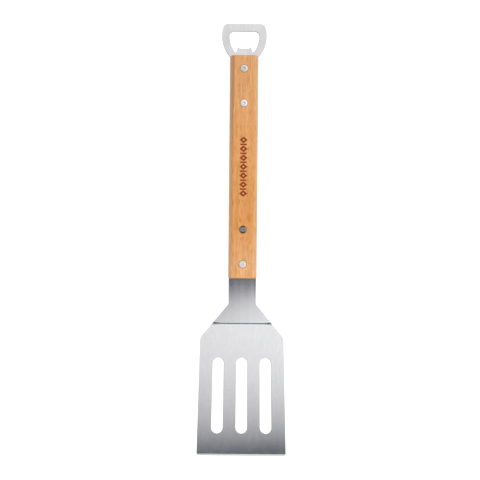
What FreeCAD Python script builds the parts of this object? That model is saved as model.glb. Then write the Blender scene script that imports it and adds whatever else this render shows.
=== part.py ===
import FreeCAD, Part
import math
import os

# Grill spatula: a slotted steel blade whose neck and tang run into a one-piece wooden handle, and a
# bottle opener let into the handle's other end. Each tang lies in a saw kerf and is held by two rivets,
# and each rivet is a tubular post from below with a pin pressed in from above.
#
# Millimetres. X runs across the tool, +Y points to the opener, -Y to the blade's tip and +Z up. The tool
# lies on a table, at rest on the flat underside of its handle, so the table is z = 0. While it is being
# built, y = 0 is the end of the handle at the neck. The last step moves the origin to the middle of the
# whole tool's length.

# Handle
HANDLE_LENGTH = 220.4
HANDLE_WIDTH = 28.4
HANDLE_THICKNESS = 18.0
HANDLE_EDGE_RADIUS = 5.0
HANDLE_END_RADIUS = 1.4

# Blade, neck and tang: one sheet, bent once at the heel
SHEET = 1.5
NECK_WIDTH = 27.3
NECK_LENGTH = 45.7
NECK_STRAIGHT = 25.95
NECK_CORNER_RADIUS = 3.0
BLADE_ANGLE = 20.6
BLADE_WIDTH = 82.8
BLADE_LENGTH = 124.07
FLARE_SLOPE = 0.823
SHOULDER_RADIUS = 8.0
TIP_CORNER_RADIUS = 2.0
TIP_BEVEL_LENGTH = 1.6
TIP_BEVEL_DEPTH = 0.8
HEEL_RADIUS = 4.6
HEEL_END_RADIUS = 10.5
HEEL_EVEN_HALF = 21.5
HEEL_END_HALF = 30.0
BLADE_TANG_LENGTH = 60.0

# Rounding of stamped edges, in the slots and all round the opener
EDGE_RADIUS = 0.25

# Drain slots in the blade
SLOT_COUNT = 3
SLOT_PITCH = 22.94
SLOT_WIDTH = 10.85
SLOT_LENGTH = 70.8
SLOT_CENTRE = 68.9

# Bottle opener: a flat plate with a loop and a toothed tongue
OPENER_PLATE = 2.0
OPENER_REACH = 33.5
OPENER_HALF_WIDTH = 22.3
OPENER_SIDE_RADIUS = 31.0
OPENER_WIDEST = 21.4
OPENER_CORNER_RADIUS = 5.5
OPENER_TANG_LENGTH = 58.0
LOOP_TOP = 26.0
LOOP_BOTTOM = 5.3
LOOP_HALF_WIDTH = 14.8
LOOP_SIDE_RADIUS = 28.0
LOOP_TOP_RADIUS = 4.5
LOOP_BOTTOM_RADIUS = 2.6
TONGUE_HALF_WIDTH = 7.0
TONGUE_FLARE = 0.9
TONGUE_TOP = 8.7
TOOTH_TOP = 9.7
TOOTH_WIDTH = 3.0
TANG_CORNER_RADIUS = 4.0

# Saw kerfs in the handle's ends
KERF_PLAY = 0.1
KERF_BEYOND_TANG = 1.5
SAW_RADIUS = 100.0

# Rivets
RIVET_FROM_NECK_END = 14.1
RIVET_FROM_OPENER_END = 13.3
RIVET_PITCH = 34.2
HEAD_RADIUS = 3.65
HEAD_THICKNESS = 1.3
HEAD_CROWN = 0.4
HEAD_DIMPLE_RADIUS = 1.9
HEAD_DIMPLE_DEPTH = 0.4
POST_RADIUS = 2.4
POST_TOP = 14.0
PIN_RADIUS = 1.6
PIN_BOTTOM = 5.0
BORE_BOTTOM = 4.0
PRESS_PLAY = 0.02
HOLE_PLAY = 0.05

# Burnt-in motif on the handle's upper face
MOTIF_DEPTH = 0.25
MOTIF_DIAMONDS = 7
MOTIF_PITCH = 8.8
DIAMOND_HALF_LENGTH = 3.3
DIAMOND_HALF_WIDTH = 4.0
DIAMOND_HOLLOW = 0.34
BAR_HALF_LENGTH = 0.75
BAR_HALF_WIDTH = 3.1

V = FreeCAD.Vector
X_AXIS = V(1, 0, 0)
Z_AXIS = V(0, 0, 1)
MIDDLE = HANDLE_THICKNESS / 2
SHEET_TOP = MIDDLE + SHEET / 2
HEEL_Y = -NECK_LENGTH
NECK_FLARE_Y = -NECK_STRAIGHT
HEEL_HALF_WIDTH = NECK_WIDTH / 2 + (NECK_LENGTH - NECK_STRAIGHT) * FLARE_SLOPE
SHOULDER = (BLADE_WIDTH / 2 - HEEL_HALF_WIDTH) / FLARE_SLOPE
ANGLE = math.radians(BLADE_ANGLE)


def rounded_wire(corners):
    """A closed outline in the XY plane through corners (x, y, radius), where radius 0 stays sharp."""
    count = len(corners)
    points = [V(x, y, 0) for x, y, radius in corners]
    turns = []
    for i, here in enumerate(points):
        radius = corners[i][2]
        back = (points[i - 1] - here).normalize()
        ahead = (points[(i + 1) % count] - here).normalize()
        half_angle = back.getAngle(ahead) / 2
        reach = radius / math.tan(half_angle)
        inward = (back + ahead).normalize()
        middle = here + inward * (radius / math.sin(half_angle) - radius)
        turns.append((here + back * reach, middle, here + ahead * reach))
    edges = []
    for i, (start, middle, end) in enumerate(turns):
        if corners[i][2] > 0:
            edges.append(Part.Arc(start, middle, end).toShape())
        edges.append(Part.LineSegment(end, turns[(i + 1) % count][0]).toShape())
    return Part.Wire(edges)


def prism(wire, low, high):
    """The solid between z = low and z = high inside a closed outline."""
    solid = Part.Face(wire).extrude(V(0, 0, high - low))
    solid.translate(V(0, 0, low))
    return solid


def mirrored(right_side):
    """A closed list of corners from those of the right side, listed from its top to its bottom."""
    left_side = [(-x, y, radius) for x, y, radius in reversed(right_side)]
    return right_side + left_side


def on_blade(solid):
    """Move a solid drawn flat, with its heel at y = 0 and its face at z = 0, onto the tilted blade."""
    solid.rotate(V(0, 0, 0), X_AXIS, -BLADE_ANGLE)
    solid.translate(V(0, HEEL_Y, SHEET_TOP))
    return solid


def bend_radius(x):
    """The radius on the inside of the heel bend: even in the middle, and softer towards the ends."""
    share = (abs(x) - HEEL_EVEN_HALF) / (HEEL_END_HALF - HEEL_EVEN_HALF)
    return HEEL_RADIUS + (HEEL_END_RADIUS - HEEL_RADIUS) * min(max(share, 0), 1)


def bend_reach(x):
    """How far the bend reaches from the heel, along the neck and along the blade alike."""
    return bend_radius(x) * math.tan(ANGLE / 2)


def bend_section(x):
    """The bend's cross-section at one x, between the end of the flat neck and the start of the blade."""
    radius = bend_radius(x)
    centre = V(x, HEEL_Y + bend_reach(x), SHEET_TOP + radius)
    directions = [V(0, math.sin(turn), math.cos(turn)) for turn in (0, ANGLE / 2, ANGLE)]
    top = [centre - direction * radius for direction in directions]
    bottom = [centre - direction * (radius + SHEET) for direction in reversed(directions)]
    return Part.Wire([
        Part.Arc(*top).toShape(),
        Part.LineSegment(top[2], bottom[0]).toShape(),
        Part.Arc(*bottom).toShape(),
        Part.LineSegment(bottom[2], top[0]).toShape(),
    ])


def bent_strip():
    """A full-width strip of sheet: the flat of the tang and neck, the heel bend, and the flat blade."""
    side = BLADE_WIDTH / 2 + 1
    stations = [-side, -HEEL_END_HALF, -HEEL_EVEN_HALF, HEEL_EVEN_HALF, HEEL_END_HALF, side]
    bend = Part.makeLoft([bend_section(x) for x in stations], True, True)
    neck_corners = [(x, HEEL_Y + bend_reach(x), 0) for x in stations]
    neck_corners += [(side, BLADE_TANG_LENGTH, 0), (-side, BLADE_TANG_LENGTH, 0)]
    neck = prism(rounded_wire(neck_corners), SHEET_TOP - SHEET, SHEET_TOP)
    blade_corners = [(x, -bend_reach(x), 0) for x in stations]
    blade_corners += [(side, -BLADE_LENGTH, 0), (-side, -BLADE_LENGTH, 0)]
    flat = on_blade(prism(rounded_wire(blade_corners), -SHEET, 0))
    return neck.fuse([bend, flat]).removeSplitter()


def neck_outline():
    """The plan of the tang and neck, carried a little past the heel."""
    past = 3.0
    right_side = [
        (NECK_WIDTH / 2, BLADE_TANG_LENGTH, TANG_CORNER_RADIUS),
        (NECK_WIDTH / 2, NECK_FLARE_Y, NECK_CORNER_RADIUS),
        (HEEL_HALF_WIDTH + past * FLARE_SLOPE, HEEL_Y - past, 0),
    ]
    return prism(rounded_wire(mirrored(right_side)), 0, 2 * HANDLE_THICKNESS)


def blade_outline():
    """The plan of the blade, carried a little past the heel onto the neck."""
    past = 3.0
    right_side = [
        (HEEL_HALF_WIDTH - past * FLARE_SLOPE, past, 0),
        (BLADE_WIDTH / 2, -SHOULDER, SHOULDER_RADIUS),
        (BLADE_WIDTH / 2, -BLADE_LENGTH, TIP_CORNER_RADIUS),
    ]
    return on_blade(prism(rounded_wire(mirrored(right_side)), -2 * SHEET, 2 * SHEET))


def drain_slot(x):
    """The cutter for one round-ended slot."""
    half = SLOT_WIDTH / 2
    near = -SLOT_CENTRE + SLOT_LENGTH / 2 - half
    far = -SLOT_CENTRE - SLOT_LENGTH / 2 + half
    wire = Part.Wire([
        Part.LineSegment(V(x - half, far, 0), V(x - half, near, 0)).toShape(),
        Part.Arc(V(x - half, near, 0), V(x, near + half, 0), V(x + half, near, 0)).toShape(),
        Part.LineSegment(V(x + half, near, 0), V(x + half, far, 0)).toShape(),
        Part.Arc(V(x + half, far, 0), V(x, far - half, 0), V(x - half, far, 0)).toShape(),
    ])
    return on_blade(prism(wire, -2 * SHEET, SHEET))


def slot_rims(sheet):
    """The edges round the slots, on the upper and the lower side of the blade."""
    rims = []
    for face in sheet.Faces:
        if face.Area > BLADE_LENGTH * BLADE_WIDTH / 2:
            for wire in face.Wires:
                if wire.BoundBox.XLength < SLOT_PITCH:
                    rims.extend(wire.Edges)
    return rims


def tip_bevel():
    """The wedge ground off the upper side of the tip."""
    margin = 1.0
    half = BLADE_WIDTH / 2 + margin
    triangle = Part.makePolygon([
        V(-half, -BLADE_LENGTH + TIP_BEVEL_LENGTH, 0),
        V(-half, -BLADE_LENGTH, -TIP_BEVEL_DEPTH),
        V(-half, -BLADE_LENGTH - margin, -TIP_BEVEL_DEPTH),
        V(-half, -BLADE_LENGTH - margin, margin),
        V(-half, -BLADE_LENGTH + TIP_BEVEL_LENGTH, margin),
        V(-half, -BLADE_LENGTH + TIP_BEVEL_LENGTH, 0),
    ])
    return on_blade(Part.Face(triangle).extrude(X_AXIS * (2 * half)))


def blade():
    """The slotted blade with its neck and tang."""
    solid = bent_strip().common(neck_outline().fuse(blade_outline()))
    first = -(SLOT_COUNT - 1) / 2
    cutters = [drain_slot((first + i) * SLOT_PITCH) for i in range(SLOT_COUNT)]
    cutters.append(tip_bevel())
    cutters.extend(tang_hole(y) for y in NECK_RIVETS)
    solid = solid.cut(cutters)
    return solid.makeFillet(EDGE_RADIUS, slot_rims(solid))


def opener_outline():
    """The opener's outer outline, from the loop down to the end of the tang."""
    side_centre = V(OPENER_HALF_WIDTH - OPENER_SIDE_RADIUS, OPENER_WIDEST, 0)
    corner_y = OPENER_REACH - OPENER_CORNER_RADIUS
    to_corner = OPENER_SIDE_RADIUS - OPENER_CORNER_RADIUS
    corner_x = side_centre.x + math.sqrt(to_corner ** 2 - (corner_y - OPENER_WIDEST) ** 2)
    corner_centre = V(corner_x, corner_y, 0)
    outward = (corner_centre - side_centre).normalize()
    top = corner_centre + V(0, OPENER_CORNER_RADIUS, 0)
    corner_middle = corner_centre + (outward + V(0, 1, 0)).normalize() * OPENER_CORNER_RADIUS
    side_start = corner_centre + outward * OPENER_CORNER_RADIUS
    side_middle = side_centre + V(OPENER_SIDE_RADIUS, 0, 0)
    foot_x = side_centre.x + math.sqrt(OPENER_SIDE_RADIUS ** 2 - OPENER_WIDEST ** 2)
    foot = V(foot_x, 0, 0)
    tang_side = V(foot_x, TANG_CORNER_RADIUS - OPENER_TANG_LENGTH, 0)
    diagonal = TANG_CORNER_RADIUS * math.sqrt(0.5)
    tang_centre = tang_side - V(TANG_CORNER_RADIUS, 0, 0)
    tang_corner = tang_centre + V(diagonal, -diagonal, 0)
    tang_end = tang_centre - V(0, TANG_CORNER_RADIUS, 0)
    right_half = [
        Part.Arc(top, corner_middle, side_start).toShape(),
        Part.Arc(side_start, side_middle, foot).toShape(),
        Part.LineSegment(foot, tang_side).toShape(),
        Part.Arc(tang_side, tang_corner, tang_end).toShape(),
    ]
    return closed_by_mirror(right_half, top, tang_end)


def loop_outline():
    """The opener's opening, with the tongue that lifts the cap standing in its lower edge."""
    side_centre = V(LOOP_HALF_WIDTH - LOOP_SIDE_RADIUS, OPENER_WIDEST, 0)
    corner_y = LOOP_TOP - LOOP_TOP_RADIUS
    to_corner = LOOP_SIDE_RADIUS - LOOP_TOP_RADIUS
    corner_x = side_centre.x + math.sqrt(to_corner ** 2 - (corner_y - OPENER_WIDEST) ** 2)
    corner_centre = V(corner_x, corner_y, 0)
    outward = (corner_centre - side_centre).normalize()
    top = corner_centre + V(0, LOOP_TOP_RADIUS, 0)
    corner_middle = corner_centre + (outward + V(0, 1, 0)).normalize() * LOOP_TOP_RADIUS
    side_start = corner_centre + outward * LOOP_TOP_RADIUS
    low_y = LOOP_BOTTOM + LOOP_BOTTOM_RADIUS
    to_low = LOOP_SIDE_RADIUS - LOOP_BOTTOM_RADIUS
    low_x = side_centre.x + math.sqrt(to_low ** 2 - (low_y - OPENER_WIDEST) ** 2)
    low_centre = V(low_x, low_y, 0)
    low_outward = (low_centre - side_centre).normalize()
    side_end = low_centre + low_outward * LOOP_BOTTOM_RADIUS
    side_middle = side_centre + (outward + low_outward).normalize() * LOOP_SIDE_RADIUS
    low_middle = low_centre + (low_outward - V(0, 1, 0)).normalize() * LOOP_BOTTOM_RADIUS
    bottom = low_centre - V(0, LOOP_BOTTOM_RADIUS, 0)
    tongue_foot = V(TONGUE_HALF_WIDTH + TONGUE_FLARE, LOOP_BOTTOM, 0)
    tooth_outer = V(TONGUE_HALF_WIDTH, TOOTH_TOP - 0.5, 0)
    tooth_peak = V(TONGUE_HALF_WIDTH - 0.7, TOOTH_TOP, 0)
    tooth_inner = V(TONGUE_HALF_WIDTH - TOOTH_WIDTH, TONGUE_TOP, 0)
    right_half = [
        Part.Arc(top, corner_middle, side_start).toShape(),
        Part.Arc(side_start, side_middle, side_end).toShape(),
        Part.Arc(side_end, low_middle, bottom).toShape(),
        Part.LineSegment(bottom, tongue_foot).toShape(),
        Part.LineSegment(tongue_foot, tooth_outer).toShape(),
        Part.LineSegment(tooth_outer, tooth_peak).toShape(),
        Part.LineSegment(tooth_peak, tooth_inner).toShape(),
    ]
    return closed_by_mirror(right_half, top, tooth_inner)


def closed_by_mirror(right_half, top, bottom):
    """A closed outline from its right half, whose ends are joined straight across the centre line."""
    left_half = [edge.mirror(V(0, 0, 0), X_AXIS) for edge in right_half]
    across_top = Part.LineSegment(V(-top.x, top.y, 0), top).toShape()
    across_bottom = Part.LineSegment(V(-bottom.x, bottom.y, 0), bottom).toShape()
    edges = right_half + left_half + [across_top, across_bottom]
    return Part.Wire(Part.__sortEdges__(edges))


def bottle_opener():
    """The opener plate, with its tang in the far end of the handle."""
    low = MIDDLE - OPENER_PLATE / 2
    high = MIDDLE + OPENER_PLATE / 2
    solid = prism(opener_outline(), low, high)
    solid = solid.cut(prism(loop_outline(), low - 1, high + 1))
    flat_edges = [edge for edge in solid.Edges if edge.BoundBox.ZLength < OPENER_PLATE / 2]
    solid = solid.makeFillet(EDGE_RADIUS, flat_edges)
    solid.translate(V(0, HANDLE_LENGTH, 0))
    return solid.cut([tang_hole(y) for y in OPENER_RIVETS])


def tang_hole(y):
    """The cutter for a rivet hole in a tang."""
    return Part.makeCylinder(POST_RADIUS + 2 * HOLE_PLAY, HANDLE_THICKNESS, V(0, y, 0))


def kerf(plate, tang_end, towards):
    """The cutter for a saw kerf that ends past a tang. towards is 1 for +Y and -1 for -Y."""
    width = plate + 2 * KERF_PLAY
    centre = V(0, tang_end + towards * (KERF_BEYOND_TANG - SAW_RADIUS), MIDDLE - width / 2)
    return Part.makeCylinder(SAW_RADIUS, width, centre)


def rivet_hole(y):
    """The cutter for one stepped hole: the shank's bore with a seat for a head at each side."""
    seat = HEAD_RADIUS + HOLE_PLAY
    bore = Part.makeCylinder(POST_RADIUS + HOLE_PLAY, HANDLE_THICKNESS + 2, V(0, y, -1))
    lower_seat = Part.makeCylinder(seat, 1 + HEAD_THICKNESS + HEAD_CROWN, V(0, y, -1))
    upper_seat = Part.makeCylinder(seat, 1 + HEAD_THICKNESS, V(0, y, HANDLE_THICKNESS - HEAD_THICKNESS))
    return bore.fuse([lower_seat, upper_seat])


def diamond(y, scale):
    """The outline of one diamond of the motif, or of a smaller one about the same middle."""
    half_width = scale * DIAMOND_HALF_WIDTH
    half_length = scale * DIAMOND_HALF_LENGTH
    return rounded_wire([
        (half_width, y, 0),
        (0, y - half_length, 0),
        (-half_width, y, 0),
        (0, y + half_length, 0),
    ])


def motif():
    """The cutters for the motif: a row of hollow diamonds with a short bar between each two."""
    low = HANDLE_THICKNESS - MOTIF_DEPTH
    high = HANDLE_THICKNESS + 1
    start = HANDLE_LENGTH / 2 - (MOTIF_DIAMONDS - 1) / 2 * MOTIF_PITCH
    cutters = []
    for i in range(MOTIF_DIAMONDS):
        y = start + i * MOTIF_PITCH
        cutters.append(prism(diamond(y, 1), low, high).cut(prism(diamond(y, DIAMOND_HOLLOW), low, high)))
        if i > 0:
            bar_y = y - MOTIF_PITCH / 2
            right_side = [
                (BAR_HALF_WIDTH, bar_y + BAR_HALF_LENGTH, 0),
                (BAR_HALF_WIDTH, bar_y - BAR_HALF_LENGTH, 0),
            ]
            cutters.append(prism(rounded_wire(mirrored(right_side)), low, high))
    return cutters


def handle():
    """The wooden handle, rounded along its edges and sawn, drilled and marked."""
    corner = V(-HANDLE_WIDTH / 2, 0, 0)
    solid = Part.makeBox(HANDLE_WIDTH, HANDLE_LENGTH, HANDLE_THICKNESS, corner)
    long_edges = [edge for edge in solid.Edges if edge.Length > HANDLE_LENGTH - 1]
    solid = solid.makeFillet(HANDLE_EDGE_RADIUS, long_edges)
    ends = [face for face in solid.Faces if abs(face.normalAt(0, 0).y) > 0.9]
    end_edges = [edge for face in ends for edge in face.Edges]
    solid = solid.makeFillet(HANDLE_END_RADIUS, end_edges)
    cutters = [
        kerf(SHEET, BLADE_TANG_LENGTH, 1),
        kerf(OPENER_PLATE, HANDLE_LENGTH - OPENER_TANG_LENGTH, -1),
    ]
    cutters.extend(rivet_hole(y) for y in NECK_RIVETS + OPENER_RIVETS)
    cutters.extend(motif())
    return solid.cut(cutters)


def crowned_head():
    """A rivet head that rests on z = 0, with a low crown and a dimple in its middle."""
    rim = HEAD_THICKNESS
    crown_radius = (HEAD_RADIUS ** 2 + HEAD_CROWN ** 2) / (2 * HEAD_CROWN)
    disc = Part.makeCylinder(HEAD_RADIUS, rim + HEAD_CROWN)
    crown = Part.makeSphere(crown_radius, V(0, 0, rim + HEAD_CROWN - crown_radius))
    dimple_radius = (HEAD_DIMPLE_RADIUS ** 2 + HEAD_DIMPLE_DEPTH ** 2) / (2 * HEAD_DIMPLE_DEPTH)
    dimple_z = rim + HEAD_CROWN + dimple_radius - HEAD_DIMPLE_DEPTH
    return disc.common(crown).cut(Part.makeSphere(dimple_radius, V(0, 0, dimple_z)))


def rivet_pin(y):
    """The upper half of a rivet: a crowned head on a solid pin."""
    head_base = HANDLE_THICKNESS - HEAD_THICKNESS
    head = crowned_head()
    head.translate(V(0, y, head_base))
    pin = Part.makeCylinder(PIN_RADIUS, head_base - PIN_BOTTOM + HEAD_THICKNESS / 2, V(0, y, PIN_BOTTOM))
    return head.fuse(pin).removeSplitter()


def rivet_post(y):
    """The lower half of a rivet: a crowned head, sunk to the underside, on a tubular post."""
    head_base = HEAD_THICKNESS + HEAD_CROWN
    head = crowned_head()
    head.rotate(V(0, 0, 0), X_AXIS, 180)
    head.translate(V(0, y, head_base))
    post_start = HEAD_THICKNESS
    post = Part.makeCylinder(POST_RADIUS, POST_TOP - post_start, V(0, y, post_start))
    bore = Part.makeCylinder(PIN_RADIUS + PRESS_PLAY, POST_TOP, V(0, y, BORE_BOTTOM))
    return head.fuse(post).removeSplitter().cut(bore)


NECK_RIVETS = [RIVET_FROM_NECK_END, RIVET_FROM_NECK_END + RIVET_PITCH]
LAST_RIVET = HANDLE_LENGTH - RIVET_FROM_OPENER_END
OPENER_RIVETS = [LAST_RIVET - RIVET_PITCH, LAST_RIVET]

nodes = {
    "blade": blade(),
    "handle": handle(),
    "bottle_opener": bottle_opener(),
}
for number, rivet_y in enumerate(NECK_RIVETS + OPENER_RIVETS, start=1):
    nodes["rivet_pin_%d" % number] = rivet_pin(rivet_y)
    nodes["rivet_post_%d" % number] = rivet_post(rivet_y)

tip_y = nodes["blade"].optimalBoundingBox().YMin
opener_y = HANDLE_LENGTH + OPENER_REACH
for name, shape in nodes.items():
    shape.translate(V(0, -(tip_y + opener_y) / 2, 0))
    shape.exportStep("parts/%s.step" % name)
    print(name, shape.ShapeType, len(shape.Solids), shape.isValid(), round(shape.Volume, 1))
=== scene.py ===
import math

import bpy
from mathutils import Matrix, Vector


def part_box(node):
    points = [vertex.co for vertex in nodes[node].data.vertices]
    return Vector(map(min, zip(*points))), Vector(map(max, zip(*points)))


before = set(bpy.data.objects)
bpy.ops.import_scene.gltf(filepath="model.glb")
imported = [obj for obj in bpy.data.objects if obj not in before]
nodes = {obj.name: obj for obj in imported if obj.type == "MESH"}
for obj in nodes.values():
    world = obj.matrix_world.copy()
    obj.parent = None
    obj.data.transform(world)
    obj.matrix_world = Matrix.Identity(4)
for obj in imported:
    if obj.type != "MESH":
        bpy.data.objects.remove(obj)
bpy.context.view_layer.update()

MM = 0.001
handle_low, handle_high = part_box("handle")
blade_low, blade_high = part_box("blade")

# Camera: straight above the handle's middle plane, turned by half a degree
CAMERA_HEIGHT = 600 * MM
CAMERA_ALONG_HANDLE = 38.0 * MM
CAMERA_ASIDE = -2.7 * MM
CAMERA_TURN = math.radians(0.5)
LENS = 45.0
SENSOR = 36.0

# Studio: a pale glowing floor under a soft sky, dimmer towards -X and -Y, white at the horizon
FLOOR_DROP = 0.2 * MM
FLOOR_RADIUS = 30.0
FLOOR_COLOUR = (0.55, 0.55, 0.55, 1.0)
FLOOR_GLOW = 0.82
SKY_COLOUR = (1.0, 1.0, 1.0, 1.0)
SKY_ACROSS = ((-1.0, 0.58), (-0.50, 0.60), (-0.12, 1.27), (0.09, 1.51), (0.42, 1.36), (1.0, 1.12))
SKY_ALONG = ((-1.0, 0.80), (-0.35, 0.80), (-0.10, 1.0), (1.0, 1.0))
SKY_HORIZON = (0.32, 0.58)
KEY_POWER = 4.5
KEY_PLACE = (1.15, -0.10, 0.95)
KEY_SIZE = 0.8

# A dark soft-edged shade above the camera, which the steel mirrors. SHADE_COVER says how much it covers at
# each place along Y, in millimetres. From -X to +X those places are stretched about the pivot by the two
# widenings. SHADE_LEAN is how far they shift along Y for each step in X, at the two ends of its reach
SHADE_ABOVE_CAMERA = 12 * MM
SHADE_COLOUR = (0.018, 0.022, 0.050, 1.0)
SHADE_HALF_WIDTH = 1000 * MM
SHADE_PIVOT = 45 * MM
SHADE_WIDENING = (1.165, 0.84)
SHADE_LEAN = (0.34, 0.055)
SHADE_LEAN_REACH = (-175 * MM, -85 * MM)
SHADE_START = -260 * MM
SHADE_END = 340 * MM
SHADE_COVER = (
    (-178, 0.0), (-160, 0.01), (-146, 0.035), (-133, 0.065), (-120, 0.25), (-107, 0.77), (-98, 0.95),
    (-88, 1.0), (24, 1.0), (30, 0.965), (45, 0.78), (54, 0.66), (70, 0.53), (91, 0.425),
    (119, 0.335), (141, 0.275), (178, 0.16), (215, 0.10), (260, 0.045), (310, 0.008), (335, 0.0),
)

# Sheet steels: colour, roughness, anisotropy, strength of the grain and strength of the smudges
BLADE_STEEL = ((0.604, 0.604, 0.613, 1.0), 0.22, 0.87, 0.05, 0.02)
OPENER_STEEL = ((0.572, 0.572, 0.572, 1.0), 0.42, 0.3, 0.05, 0.07)

# How much painted shade darkens a cut edge towards -X, the share of that towards the other sides, the
# width of the blade's broken edge, and how far up the opener the painted reflection of the handle reaches
CUT_EDGE_SHADE = 0.76
CUT_SHARE = 0.45
EDGE_BREAK = 0.33 * MM
HANDLE_REFLECTION_FADE = (6 * MM, 16 * MM)
HANDLE_REFLECTION_COLOUR = (0.625, 0.600, 0.605, 1.0)

# Beech: light and dark fibres, warm mottling, flecks and streaks, flanks with a painted sheen and painted
# shade, painted light brighter towards the neck end, a deeper colour along the middle of the handle, end
# grain, a darker band on the -X edge that is painted shade, and painted shadow round the rivets
WOOD_LIGHT = (0.815, 0.475, 0.222, 1.0)
WOOD_DARK = (0.655, 0.325, 0.130, 1.0)
WOOD_WARM = (0.76, 0.350, 0.130, 1.0)
WOOD_FLECK = (0.42, 0.150, 0.040, 1.0)
WOOD_STREAK = (0.60, 0.220, 0.050, 1.0)
WOOD_FLANK_SHADE_TINT_LEFT = (0.80, 0.91, 1.0, 1.0)
WOOD_FLANK_SHADE_TINT_RIGHT = (0.72, 0.86, 1.0, 1.0)
WOOD_FLANK_SHEEN = (0.62, 0.460, 0.345, 1.0)
WOOD_DEEP = (0.78, 0.305, 0.052, 1.0)
WOOD_END = (0.30, 0.165, 0.080, 1.0)
WOOD_EDGE_SHADE = (0.60, 0.285, 0.115, 1.0)
WOOD_EDGE_SHADE_DARK = (0.46, 0.195, 0.070, 1.0)
WOOD_RIVET_SHADOW = (0.13, 0.065, 0.030, 1.0)
WOOD_DEEPENING = ((0.0, 0.0), (0.12, 0.05), (0.26, 0.9), (0.45, 0.75), (0.60, 0.6), (0.78, 0.2), (0.86, 0.0))
# Painted light along the handle, brightest at the neck end
WOOD_PAINTED_LIGHT = ((0.0, 1.15), (0.14, 1.11), (0.30, 1.035), (0.55, 1.05), (0.86, 1.03), (1.0, 1.03))
RIVET_SHADOW = 0.75
RIVET_SHADOW_WIDTH = 0.7 * MM

# Rivet heads: colours of the rim, of its two sides and of the heart, then how far from the middle the
# heart gives way to the rim, the roughness and the wear. The rim and side colours paint light and shade
# on the ring, and the darker bluish heart is a painted reflection in the dimple
RIVETS = {
    "rivet_pin_1": (
        (0.93, 0.82, 0.72, 1.0), (0.98, 0.86, 0.73, 1.0), (0.72, 0.76, 0.82, 1.0),
        (1.3 * MM, 2.3 * MM), 0.62, 0.10,
    ),
    # rivet_pin_2: its dark rim is painted shade where the head sits deep in its seat
    "rivet_pin_2": (
        (0.10, 0.058, 0.034, 1.0), (0.46, 0.35, 0.24, 1.0), (0.28, 0.34, 0.37, 1.0),
        (1.9 * MM, 3.0 * MM), 0.46, 0.45,
    ),
    "rivet_pin_3": (
        (0.92, 0.83, 0.76, 1.0), (0.96, 0.85, 0.74, 1.0), (0.72, 0.72, 0.75, 1.0),
        (1.4 * MM, 2.8 * MM), 0.52, 0.12,
    ),
    "rivet_pin_4": (
        (0.75, 0.67, 0.64, 1.0), (0.78, 0.72, 0.60, 1.0), (0.52, 0.51, 0.60, 1.0),
        (1.3 * MM, 2.6 * MM), 0.46, 0.14,
    ),
}
POST_LOOK = (
    (0.70, 0.66, 0.62, 1.0), (0.72, 0.67, 0.60, 1.0), (0.52, 0.53, 0.58, 1.0),
    (1.5 * MM, 2.4 * MM), 0.40, 0.12,
)
RIM_WANDER = 2.0 * MM
POSTS = ("rivet_post_1", "rivet_post_2", "rivet_post_3", "rivet_post_4")

# A darker band along the handle's -X edge, painted shade drawn with the grain like heartwood, wider and
# stronger towards the opener
EDGE_SHADE_WIDTH = 5.0 * MM
EDGE_SHADE_TAPER = -2.0 * MM
EDGE_SHADE_STRENGTH = ((0.0, 0.25), (0.35, 0.30), (0.6, 0.5), (0.72, 0.85), (1.0, 0.95))

# Burnt motif in the handle's top face
MOTIF_DEPTH = 0.25 * MM
MOTIF_HALF_WIDTH = 5.5 * MM
MOTIF_HALF_LENGTH = 45 * MM
MOTIF_DARK = (0.245, 0.027, 0.0, 1.0)
MOTIF_LIGHT = (0.40, 0.060, 0.001, 1.0)


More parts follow.
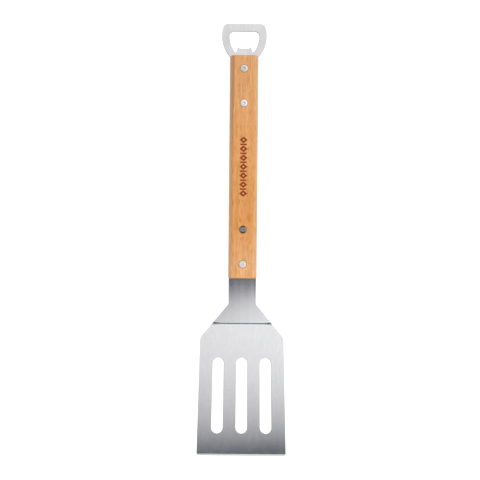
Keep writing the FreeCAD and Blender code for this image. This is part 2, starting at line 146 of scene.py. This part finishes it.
class Shader:
    """A material, and short ways to add the nodes that it is made of."""

    def __init__(self, name):
        self.material = bpy.data.materials.new(name)
        self.material.use_nodes = True
        self.tree = self.material.node_tree
        self.tree.nodes.clear()
        self.surface = self.tree.nodes.new("ShaderNodeBsdfPrincipled")
        output = self.tree.nodes.new("ShaderNodeOutputMaterial")
        self.tree.links.new(self.surface.outputs[0], output.inputs["Surface"])
        self.place = self.tree.nodes.new("ShaderNodeTexCoord").outputs["Object"]
        self.normal = self.tree.nodes.new("ShaderNodeNewGeometry").outputs["Normal"]

    def put(self, value, socket):
        """Link an output to an input, or set the input to a plain value."""
        if isinstance(value, bpy.types.NodeSocket):
            self.tree.links.new(value, socket)
        else:
            socket.default_value = value

    def set(self, name, value):
        """Set or link an input of the surface shader."""
        self.put(value, self.surface.inputs[name])

    def math(self, operation, first, second=0.0, third=0.0):
        node = self.tree.nodes.new("ShaderNodeMath")
        node.operation = operation
        self.put(first, node.inputs[0])
        self.put(second, node.inputs[1])
        self.put(third, node.inputs[2])
        return node.outputs[0]

    def length(self, x, y):
        """Length of a flat vector."""
        return self.math("SQRT", self.math("MULTIPLY_ADD", x, x, self.math("MULTIPLY", y, y)))

    def axes(self, vector):
        """The three components of a vector."""
        node = self.tree.nodes.new("ShaderNodeSeparateXYZ")
        self.put(vector, node.inputs[0])
        return node.outputs[0], node.outputs[1], node.outputs[2]

    def vector(self, x, y, z):
        node = self.tree.nodes.new("ShaderNodeCombineXYZ")
        self.put(x, node.inputs[0])
        self.put(y, node.inputs[1])
        self.put(z, node.inputs[2])
        return node.outputs[0]

    def stretched(self, scale, offset=(0, 0, 0)):
        """Object coordinates times a scale in units per metre."""
        node = self.tree.nodes.new("ShaderNodeMapping")
        self.put(self.place, node.inputs["Vector"])
        node.inputs["Location"].default_value = offset
        node.inputs["Scale"].default_value = scale
        return node.outputs[0]

    def noise(self, scale, detail=2.0, rough=0.5, distortion=0.0, offset=(0, 0, 0)):
        """Smooth noise round 0.5, stretched over the object."""
        node = self.tree.nodes.new("ShaderNodeTexNoise")
        self.put(self.stretched(scale, offset), node.inputs["Vector"])
        node.inputs["Scale"].default_value = 1.0
        node.inputs["Detail"].default_value = detail
        node.inputs["Roughness"].default_value = rough
        node.inputs["Distortion"].default_value = distortion
        return node.outputs[0]

    def cells(self, scale, offset=(0, 0, 0)):
        """Distance to the nearest of many scattered points, and that point's random colour."""
        node = self.tree.nodes.new("ShaderNodeTexVoronoi")
        self.put(self.stretched(scale, offset), node.inputs["Vector"])
        node.inputs["Scale"].default_value = 1.0
        return node.outputs["Distance"], node.outputs["Color"]

    def span(self, value, low, high, to_low=0.0, to_high=1.0):
        """Map low..high to to_low..to_high smoothly, and hold the ends."""
        node = self.tree.nodes.new("ShaderNodeMapRange")
        node.interpolation_type = "SMOOTHSTEP"
        self.put(value, node.inputs["Value"])
        node.inputs["From Min"].default_value = low
        node.inputs["From Max"].default_value = high
        node.inputs["To Min"].default_value = to_low
        node.inputs["To Max"].default_value = to_high
        return node.outputs[0]

    def ramp(self, value, stops):
        """A curve through (position, value) stops, with positions from 0 to 1."""
        node = self.tree.nodes.new("ShaderNodeValToRGB")
        self.put(value, node.inputs[0])
        points = node.color_ramp.elements
        while len(points) < len(stops):
            points.new(0.5)
        for point, (position, level) in zip(points, stops):
            point.position = position
            point.color = (level, level, level, 1.0)
        return node.outputs[0]

    def mix(self, share, first, second, blend="MIX"):
        """Mix two colours."""
        node = self.tree.nodes.new("ShaderNodeMix")
        node.data_type = "RGBA"
        node.blend_type = blend
        self.put(share, node.inputs[0])
        self.put(first, node.inputs[6])
        self.put(second, node.inputs[7])
        return node.outputs[2]

    def shaded(self, colour, shade):
        """A colour times a brightness."""
        return self.mix(1.0, colour, self.vector(shade, shade, shade), "MULTIPLY")

    def bump(self, height, distance, below=None):
        """A bumped normal, on top of another bump where one is given."""
        node = self.tree.nodes.new("ShaderNodeBump")
        self.put(height, node.inputs["Height"])
        node.inputs["Distance"].default_value = distance
        node.inputs["Strength"].default_value = 1.0
        if below is not None:
            self.put(below, node.inputs["Normal"])
        return node.outputs[0]


def steel(name, colour, roughness, anisotropy, grain, smudges, handle_reflection=None):
    """Sheet steel with a lengthwise brushed grain, faint smudges, rougher cut edges darkened as painted
    shade, and a paler painted reflection of the handle where one is given.
    """
    made = Shader(name)
    fine = made.noise((2400, 18, 2400), detail=3.0, rough=0.6)
    broad = made.noise((380, 5, 380), detail=2.0, offset=(3.1, 0.7, 0))
    smudge = made.noise((40, 24, 40), detail=3.0, rough=0.55, distortion=0.6, offset=(1.7, 5.2, 0))
    nx, _, nz = made.axes(made.normal)
    # Cut edges: rougher, and darkened as painted shade, most where they face -X
    towards_left = made.span(nx, -0.50, -0.15, 1.0, 0.0)
    towards_right = made.span(nx, 0.15, 0.50, 0.0, CUT_SHARE)
    sideways = made.math("MAXIMUM", towards_left, towards_right)
    upright = made.span(made.math("ABSOLUTE", nz), 0.60, 0.80, CUT_SHARE, 0.0)
    cut_edge_and_shade = made.math("MAXIMUM", sideways, upright)
    streak = made.math("MULTIPLY_ADD", broad, 0.6, fine)
    shade = made.span(streak, 0.55, 1.05, 1.0 - grain, 1.0 + grain)
    shade = made.math("MULTIPLY", shade, made.span(smudge, 0.3, 0.7, 1.0 - smudges, 1.0 + smudges))
    shade = made.math("MULTIPLY", shade, made.math("MULTIPLY_ADD", cut_edge_and_shade, -CUT_EDGE_SHADE, 1.0))
    # Painted reflection of the handle: the steel paler and warmer close to the wood
    if handle_reflection is not None:
        start, end, reflection_colour = handle_reflection
        y = made.axes(made.place)[1]
        colour = made.mix(made.span(y, start, end, 1.0, 0.0), colour, reflection_colour)
    made.set("Base Color", made.shaded(colour, shade))
    rough = made.math("MULTIPLY_ADD", streak, 0.10, roughness - 0.08)
    rough = made.math("MULTIPLY_ADD", smudge, 0.08, made.math("SUBTRACT", rough, 0.04))
    rough = made.math("MULTIPLY_ADD", cut_edge_and_shade, 0.14, rough)
    made.set("Roughness", rough)
    made.set("Metallic", 1.0)
    made.set("Anisotropic", anisotropy)
    made.set("Tangent", made.vector(1.0, 0.0, 0.0))
    made.set("Normal", made.bump(streak, 0.004 * MM))
    return made.material


def wood(name):
    """Oiled beech with the grain along Y, dark flecks and streaks, painted light and shade, painted shadow
    round the rivet rims and a burnt motif.
    """
    made = Shader(name)
    x, y, z = made.axes(made.place)
    nx, ny, _ = made.axes(made.normal)
    streaks = made.noise((430, 24, 430), detail=2.0, offset=(0.3, 0.2, 0.9))
    fibres = made.noise((2300, 120, 2300), detail=3.0, rough=0.6)
    mottle = made.noise((130, 42, 130), detail=2.0, offset=(2.2, 0.4, 0.1))
    drift = made.noise((14, 3.2, 14), detail=2.0, offset=(4.0, 1.0, 2.0))
    across = made.math("MULTIPLY_ADD", drift, 0.014, made.math("MULTIPLY_ADD", z, 0.55, x))
    rings = made.math("SINE", made.math("MULTIPLY", across, 1900.0))
    tone = made.math("MULTIPLY_ADD", rings, 0.035, streaks)
    tone = made.math("MULTIPLY_ADD", made.math("SUBTRACT", fibres, 0.5), 0.65, tone)
    colour = made.mix(made.span(tone, 0.28, 0.72), WOOD_LIGHT, WOOD_DARK)
    colour = made.mix(made.span(mottle, 0.35, 0.70, 0.0, 0.7), colour, WOOD_WARM)

    near, pick = made.cells((1100, 190, 1100), offset=(0.5, 0.3, 0.7))
    chosen = made.span(made.axes(pick)[0], 0.60, 0.68)
    fleck = made.math("MULTIPLY", made.span(near, 0.12, 0.36, 1.0, 0.0), chosen)
    colour = made.mix(made.math("MULTIPLY", fleck, 0.6), colour, WOOD_FLECK)

    along = made.math("DIVIDE", made.math("SUBTRACT", y, handle_low.y), handle_high.y - handle_low.y)
    deep = made.ramp(along, WOOD_DEEPENING)
    drawn = made.noise((900, 130, 900), detail=2.0, rough=0.55, distortion=0.3, offset=(0.9, 0.1, 0.4))
    amount = made.math("MULTIPLY_ADD", deep, 0.45, 0.5)
    amount = made.math("MULTIPLY", made.span(drawn, 0.48, 0.70), amount)
    colour = made.mix(made.math("MULTIPLY", deep, 0.55), colour, WOOD_DEEP)
    colour = made.mix(amount, colour, WOOD_STREAK)
    # Painted light: the handle brighter towards the neck end, where the light falls on it
    colour = made.shaded(colour, made.ramp(along, WOOD_PAINTED_LIGHT))

    # Painted shade along the -X edge, drawn like a heartwood streak
    edge_shade_border = made.math("MULTIPLY_ADD", along, -EDGE_SHADE_TAPER, handle_low.x + EDGE_SHADE_WIDTH + EDGE_SHADE_TAPER)
    edge_shade_border = made.math("MULTIPLY_ADD", made.math("SUBTRACT", streaks, 0.5), 2 * MM, edge_shade_border)
    painted_heart = made.span(made.math("SUBTRACT", edge_shade_border, x), -0.3 * MM, 0.6 * MM)
    painted_heart = made.math("MULTIPLY", painted_heart, made.ramp(along, EDGE_SHADE_STRENGTH))
    colour = made.mix(painted_heart, colour, made.mix(fibres, WOOD_EDGE_SHADE, WOOD_EDGE_SHADE_DARK))

    # Painted light on the flanks: a cooler tint, different on the -X and +X sides, as painted shade, and a
    # pale grey painted sheen
    side = made.span(made.math("ABSOLUTE", nx), 0.30, 0.80)
    flank_shade_tint = made.mix(made.span(nx, 0.0, 0.5), WOOD_FLANK_SHADE_TINT_LEFT, WOOD_FLANK_SHADE_TINT_RIGHT)
    colour = made.mix(side, colour, flank_shade_tint, "MULTIPLY")
    colour = made.mix(made.math("MULTIPLY", side, 0.38), colour, WOOD_FLANK_SHEEN)
    end = made.math("MAXIMUM", made.span(ny, 0.25, 0.75), made.span(ny, -0.99, -0.45, 1.0, 0.0))
    colour = made.mix(made.math("MULTIPLY", end, 0.75), colour, WOOD_END)

    # Painted shadow in the gap round each rivet head
    for rivet in RIVETS:
        low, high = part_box(rivet)
        reach = made.length(x, made.math("SUBTRACT", y, (low.y + high.y) / 2))
        gap_shadow = made.span(reach, high.x, high.x + RIVET_SHADOW_WIDTH, RIVET_SHADOW, 0.0)
        colour = made.mix(gap_shadow, colour, WOOD_RIVET_SHADOW)

    depth = made.math("SUBTRACT", handle_high.z, z)
    middle = made.math("SUBTRACT", y, (handle_low.y + handle_high.y) / 2)
    inside = made.math("LESS_THAN", made.math("ABSOLUTE", x), MOTIF_HALF_WIDTH)
    close = made.math("LESS_THAN", made.math("ABSOLUTE", middle), MOTIF_HALF_LENGTH)
    area = made.math("MULTIPLY", inside, close)
    sunk = made.span(depth, 0.03 * MM, 0.10 * MM)
    shallow = made.math("LESS_THAN", depth, 1.6 * MOTIF_DEPTH)
    burnt = made.math("MULTIPLY", area, made.math("MULTIPLY", sunk, shallow))
    char = made.mix(fibres, MOTIF_DARK, MOTIF_LIGHT)
    made.set("Base Color", made.mix(burnt, colour, char))
    made.set("Roughness", made.math("MULTIPLY_ADD", fibres, 0.24, 0.36))
    made.set("Specular IOR Level", 0.25)
    relief = made.math("MULTIPLY_ADD", fleck, -0.8, fibres)
    relief = made.math("MULTIPLY_ADD", streaks, 0.5, relief)
    made.set("Normal", made.bump(relief, 0.03 * MM))
    return made.material


def rivet_steel(node, rim, lit_sides, painted_heart, change, roughness, wear):
    """Turned rivet metal: a worn rim coloured as painted light and shade, a bluish painted reflection in the
    heart, a painted shade line at the edge and fine pits.
    """
    low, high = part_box(node)
    made = Shader(node + "_steel")
    x, y, _ = made.axes(made.place)
    reach = made.length(x, made.math("SUBTRACT", y, (low.y + high.y) / 2))
    spots = made.noise((900, 900, 900), detail=3.0, rough=0.6)
    turned = made.math("SINE", made.math("MULTIPLY", reach, 16000.0))
    scratch = made.noise((4200, 500, 900), detail=2.0, offset=(0.4, 0.9, 0.2))
    worn = made.math("MULTIPLY_ADD", made.math("SUBTRACT", spots, 0.5), RIM_WANDER, reach)
    around = made.math("DIVIDE", made.math("ABSOLUTE", x), made.math("ADD", reach, 0.01 * MM))
    # Painted light and shade: the ring coloured apart at its sides towards X and its ends towards Y
    rim_light_and_shade = made.mix(made.span(around, 0.45, 0.95), rim, lit_sides)
    colour = made.mix(made.span(worn, *change), painted_heart, rim_light_and_shade)
    # Painted shade: a dark line round the head's outer edge
    edge_shade = made.span(reach, high.x - 0.55 * MM, high.x - 0.05 * MM)
    shade = made.span(spots, 0.3, 0.7, 1.0 - wear, 1.0 + 0.4 * wear)
    shade = made.math("MULTIPLY", shade, made.math("MULTIPLY_ADD", edge_shade, -0.45, 1.0))
    made.set("Base Color", made.shaded(colour, shade))
    made.set("Metallic", 1.0)
    made.set("Roughness", made.math("MULTIPLY_ADD", spots, 0.22, roughness - 0.11))
    relief = made.math("MULTIPLY_ADD", turned, 0.12, made.math("ADD", spots, scratch))
    made.set("Normal", made.bump(relief, 0.008 * MM))
    return made.material


def soften(width, *names):
    """Break the sharp edges of CAD nodes for the eye and keep their flat faces flat in the light."""
    for name in names:
        joined = nodes[name].modifiers.new("joined", "WELD")
        joined.merge_threshold = 0.001 * MM
        broken = nodes[name].modifiers.new("broken_edges", "BEVEL")
        broken.width = width
        broken.segments = 2
        broken.limit_method = "ANGLE"
        broken.angle_limit = math.radians(50)
        broken.harden_normals = True
        flat = nodes[name].modifiers.new("flat_faces", "WEIGHTED_NORMAL")
        flat.mode = "FACE_AREA"
        flat.weight = 50
        flat.keep_sharp = True


def dress(material, *names):
    """Give the named CAD nodes one material."""
    for name in names:
        nodes[name].data.materials.clear()
        nodes[name].data.materials.append(material)


def light_plane(name, place, size, power, target):
    """A square soft light turned towards a point."""
    lamp = bpy.data.lights.new(name, "AREA")
    lamp.size = size
    lamp.energy = power
    holder = bpy.data.objects.new(name, lamp)
    bpy.context.scene.collection.objects.link(holder)
    holder.location = place
    holder.rotation_euler = (Vector(target) - Vector(place)).to_track_quat("-Z", "Y").to_euler()


def disc(name, radius, place, material):
    """A flat round plane that belongs to the studio."""
    bpy.ops.mesh.primitive_circle_add(vertices=96, radius=radius, fill_type="NGON", location=place)
    made = bpy.context.active_object
    made.name = name
    made.data.materials.append(material)
    return made


def floor_paint():
    """Pale matt floor with a trace of mottling."""
    made = Shader("floor_paint")
    made.set("Base Color", made.shaded(FLOOR_COLOUR, made.span(made.noise((3, 3, 3)), 0.3, 0.7, 0.99, 1.0)))
    made.set("Roughness", 1.0)
    made.set("Specular IOR Level", 0.0)
    made.set("Emission Color", (1.0, 1.0, 1.0, 1.0))
    made.set("Emission Strength", FLOOR_GLOW)
    return made.material


def shade_paint():
    """Dark along the middle and clear towards the edges, wider on the -X side and a little aslant."""
    made = Shader("shade_paint")
    x, y, _ = made.axes(made.place)
    along = made.math("SUBTRACT", y, SHADE_PIVOT)
    along = made.math("DIVIDE", along, made.span(x, -0.3, 0.3, *SHADE_WIDENING))
    lean = made.math("MULTIPLY", x, made.span(y, *SHADE_LEAN_REACH, *SHADE_LEAN))
    along = made.math("SUBTRACT", made.math("ADD", along, SHADE_PIVOT), lean)
    share = made.math("DIVIDE", made.math("SUBTRACT", along, SHADE_START), SHADE_END - SHADE_START)
    stops = [((MM * at - SHADE_START) / (SHADE_END - SHADE_START), level) for at, level in SHADE_COVER]
    cover = made.ramp(share, stops)
    fade = made.span(made.math("ABSOLUTE", x), 0.5 * SHADE_HALF_WIDTH, SHADE_HALF_WIDTH, 1.0, 0.0)
    made.set("Base Color", SHADE_COLOUR)
    made.set("Roughness", 1.0)
    made.set("Specular IOR Level", 0.0)
    made.set("Alpha", made.math("MULTIPLY", cover, fade))
    return made.material


def sky():
    """A soft sky, dim on the -X side and a little dim towards -Y, and white at the horizon."""
    world = bpy.data.worlds.new("sky")
    bpy.context.scene.world = world
    world.use_nodes = True
    tree = world.node_tree
    tree.nodes.clear()
    background = tree.nodes.new("ShaderNodeBackground")
    output = tree.nodes.new("ShaderNodeOutputWorld")
    tree.links.new(background.outputs[0], output.inputs["Surface"])
    direction = tree.nodes.new("ShaderNodeTexCoord").outputs["Generated"]
    split = tree.nodes.new("ShaderNodeSeparateXYZ")
    tree.links.new(direction, split.inputs[0])
    levels = []
    for side, stops in ((0, SKY_ACROSS), (1, SKY_ALONG)):
        share = tree.nodes.new("ShaderNodeMapRange")
        share.inputs["From Min"].default_value = -1.0
        share.inputs["From Max"].default_value = 1.0
        tree.links.new(split.outputs[side], share.inputs["Value"])
        level = tree.nodes.new("ShaderNodeValToRGB")
        points = level.color_ramp.elements
        while len(points) < len(stops):
            points.new(0.5)
        for point, (place, value) in zip(points, stops):
            point.position = (place + 1) / 2
            point.color = (value, value, value, 1.0)
        tree.links.new(share.outputs[0], level.inputs[0])
        levels.append(level.outputs[0])
    both = tree.nodes.new("ShaderNodeMath")
    both.operation = "MULTIPLY"
    tree.links.new(levels[0], both.inputs[0])
    tree.links.new(levels[1], both.inputs[1])
    rise = tree.nodes.new("ShaderNodeMapRange")
    rise.interpolation_type = "SMOOTHSTEP"
    rise.inputs["From Min"].default_value = SKY_HORIZON[0]
    rise.inputs["From Max"].default_value = SKY_HORIZON[1]
    tree.links.new(split.outputs[2], rise.inputs["Value"])
    blend = tree.nodes.new("ShaderNodeMix")
    tree.links.new(rise.outputs[0], blend.inputs[0])
    blend.inputs[2].default_value = 1.0
    tree.links.new(both.outputs[0], blend.inputs[3])
    tree.links.new(blend.outputs[0], background.inputs["Strength"])
    background.inputs["Color"].default_value = SKY_COLOUR


dress(steel("brushed_blade_steel", *BLADE_STEEL), "blade")
# The opener's painted reflection of the handle fades out between 6 and 16 mm beyond the handle's end
handle_reflection = (handle_high.y + HANDLE_REFLECTION_FADE[0], handle_high.y + HANDLE_REFLECTION_FADE[1], HANDLE_REFLECTION_COLOUR)
dress(steel("tumbled_opener_steel", *OPENER_STEEL, handle_reflection), "bottle_opener")
dress(wood("oiled_beech"), "handle")
for rivet, look in RIVETS.items():
    dress(rivet_steel(rivet, *look), rivet)
for post in POSTS:
    dress(rivet_steel(post, *POST_LOOK), post)

soften(EDGE_BREAK, "blade")

middle_height = (handle_low.z + handle_high.z) / 2
camera_place = Vector((CAMERA_ASIDE, handle_low.y + CAMERA_ALONG_HANDLE, middle_height + CAMERA_HEIGHT))

sky()
light_plane("key", KEY_PLACE, KEY_SIZE, KEY_POWER, (0.0, 0.0, 0.0))
disc("floor", FLOOR_RADIUS, (0, 0, -FLOOR_DROP), floor_paint())
shade = disc("shade", SHADE_HALF_WIDTH, camera_place + Vector((0, 0, SHADE_ABOVE_CAMERA)), shade_paint())
shade.visible_camera = False

lens = bpy.data.cameras.new("camera")
lens.lens = LENS
lens.sensor_width = SENSOR
camera = bpy.data.objects.new("camera", lens)
bpy.context.scene.collection.objects.link(camera)
camera.location = camera_place
camera.rotation_euler = (0.0, 0.0, CAMERA_TURN)
bpy.context.scene.camera = camera
bpy.context.scene.view_settings.view_transform = "Standard"
